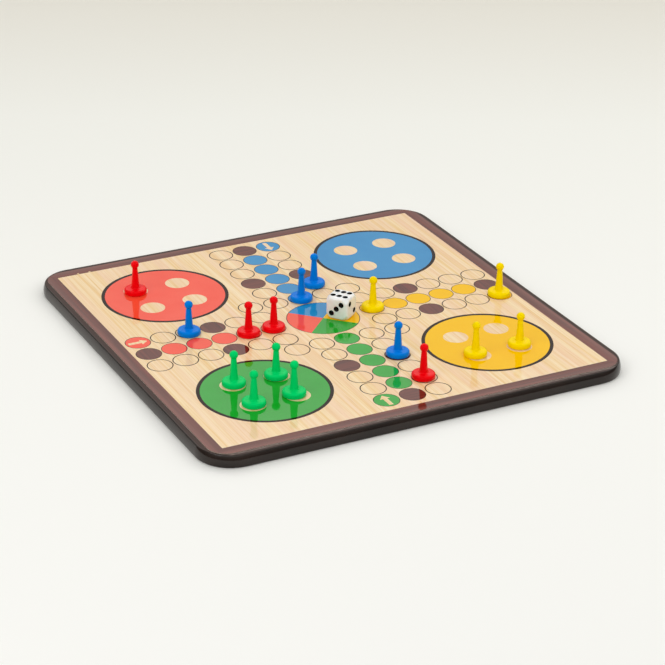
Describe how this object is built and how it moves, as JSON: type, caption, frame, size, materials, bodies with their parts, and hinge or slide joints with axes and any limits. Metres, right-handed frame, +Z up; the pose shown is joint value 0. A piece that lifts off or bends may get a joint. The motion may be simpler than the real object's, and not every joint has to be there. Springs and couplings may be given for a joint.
{
  "type": "ludo board",
  "caption": "Square ludo board with rounded black edges and a glossy printed cross track, with coloured pawns and a spotted die standing on it.",
  "frame": {"origin": "middle of the board's underside, on the table", "axes": "+Z up out of the playing face, +X towards the yellow arm of the track, +Y towards the blue arm"},
  "size_m": [0.3028, 0.3028, 0.033],
  "materials": {
    "slab": "fibreboard, edges rounded over and painted gloss black-brown",
    "paper": "white printing paper, glued down",
    "backing": "plain dark backing paper",
    "wood_print": "printed light wood grain under clear gloss lacquer",
    "brown_print": "printed dark wood grain under clear gloss lacquer",
    "line_print": "printed dark outline under clear gloss lacquer",
    "yellow_print": "printed yellow under clear gloss lacquer",
    "blue_print": "printed blue under clear gloss lacquer",
    "red_print": "printed red under clear gloss lacquer",
    "green_print": "printed green under clear gloss lacquer",
    "yellow_pawn": "moulded yellow polystyrene",
    "blue_pawn": "moulded blue polystyrene",
    "red_pawn": "moulded red polystyrene",
    "green_pawn": "moulded green polystyrene",
    "die": "tumbled white acrylic",
    "pip_paint": "black paint in the pips"
  },
  "bodies": {
    "board": {"slab": "slab", "paper_sheet": "paper", "backing_sheet": "backing", "wood_print": "wood_print", "brown_print": "brown_print", "line_print": "line_print", "yellow_print": "yellow_print", "blue_print": "blue_print", "red_print": "red_print", "green_print": "green_print"},
    "yellow_pawn_1": {"yellow_pawn_1": "yellow_pawn"},
    "yellow_pawn_2": {"yellow_pawn_2": "yellow_pawn"},
    "yellow_pawn_3": {"yellow_pawn_3": "yellow_pawn"},
    "yellow_pawn_4": {"yellow_pawn_4": "yellow_pawn"},
    "blue_pawn_1": {"blue_pawn_1": "blue_pawn"},
    "blue_pawn_2": {"blue_pawn_2": "blue_pawn"},
    "blue_pawn_3": {"blue_pawn_3": "blue_pawn"},
    "blue_pawn_4": {"blue_pawn_4": "blue_pawn"},
    "red_pawn_1": {"red_pawn_1": "red_pawn"},
    "red_pawn_2": {"red_pawn_2": "red_pawn"},
    "red_pawn_3": {"red_pawn_3": "red_pawn"},
    "red_pawn_4": {"red_pawn_4": "red_pawn"},
    "green_pawn_1": {"green_pawn_1": "green_pawn"},
    "green_pawn_2": {"green_pawn_2": "green_pawn"},
    "green_pawn_3": {"green_pawn_3": "green_pawn"},
    "green_pawn_4": {"green_pawn_4": "green_pawn"},
    "die": {"die": "die", "die_pips": "pip_paint"}
  },
  "joints": [
    {"name": "yellow_pawn_1_lift", "type": "slide", "parent": "board", "child": "yellow_pawn_1", "axis": [0, 0, 1], "range_m": [0, 0.04]},
    {"name": "yellow_pawn_2_lift", "type": "slide", "parent": "board", "child": "yellow_pawn_2", "axis": [0, 0, 1], "range_m": [0, 0.04]},
    {"name": "yellow_pawn_3_lift", "type": "slide", "parent": "board", "child": "yellow_pawn_3", "axis": [0, 0, 1], "range_m": [0, 0.04]},
    {"name": "yellow_pawn_4_lift", "type": "slide", "parent": "board", "child": "yellow_pawn_4", "axis": [0, 0, 1], "range_m": [0, 0.04]},
    {"name": "blue_pawn_1_lift", "type": "slide", "parent": "board", "child": "blue_pawn_1", "axis": [0, 0, 1], "range_m": [0, 0.04]},
    {"name": "blue_pawn_2_lift", "type": "slide", "parent": "board", "child": "blue_pawn_2", "axis": [0, 0, 1], "range_m": [0, 0.04]},
    {"name": "blue_pawn_3_lift", "type": "slide", "parent": "board", "child": "blue_pawn_3", "axis": [0, 0, 1], "range_m": [0, 0.04]},
    {"name": "blue_pawn_4_lift", "type": "slide", "parent": "board", "child": "blue_pawn_4", "axis": [0, 0, 1], "range_m": [0, 0.04]},
    {"name": "red_pawn_1_lift", "type": "slide", "parent": "board", "child": "red_pawn_1", "axis": [0, 0, 1], "range_m": [0, 0.04]},
    {"name": "red_pawn_2_lift", "type": "slide", "parent": "board", "child": "red_pawn_2", "axis": [0, 0, 1], "range_m": [0, 0.04]},
    {"name": "red_pawn_3_lift", "type": "slide", "parent": "board", "child": "red_pawn_3", "axis": [0, 0, 1], "range_m": [0, 0.04]},
    {"name": "red_pawn_4_lift", "type": "slide", "parent": "board", "child": "red_pawn_4", "axis": [0, 0, 1], "range_m": [0, 0.04]},
    {"name": "green_pawn_1_lift", "type": "slide", "parent": "board", "child": "green_pawn_1", "axis": [0, 0, 1], "range_m": [0, 0.04]},
    {"name": "green_pawn_2_lift", "type": "slide", "parent": "board", "child": "green_pawn_2", "axis": [0, 0, 1], "range_m": [0, 0.04]},
    {"name": "green_pawn_3_lift", "type": "slide", "parent": "board", "child": "green_pawn_3", "axis": [0, 0, 1], "range_m": [0, 0.04]},
    {"name": "green_pawn_4_lift", "type": "slide", "parent": "board", "child": "green_pawn_4", "axis": [0, 0, 1], "range_m": [0, 0.04]},
    {"name": "die_lift", "type": "slide", "parent": "board", "child": "die", "axis": [0, 0, 1], "range_m": [0, 0.04]}
  ]
}
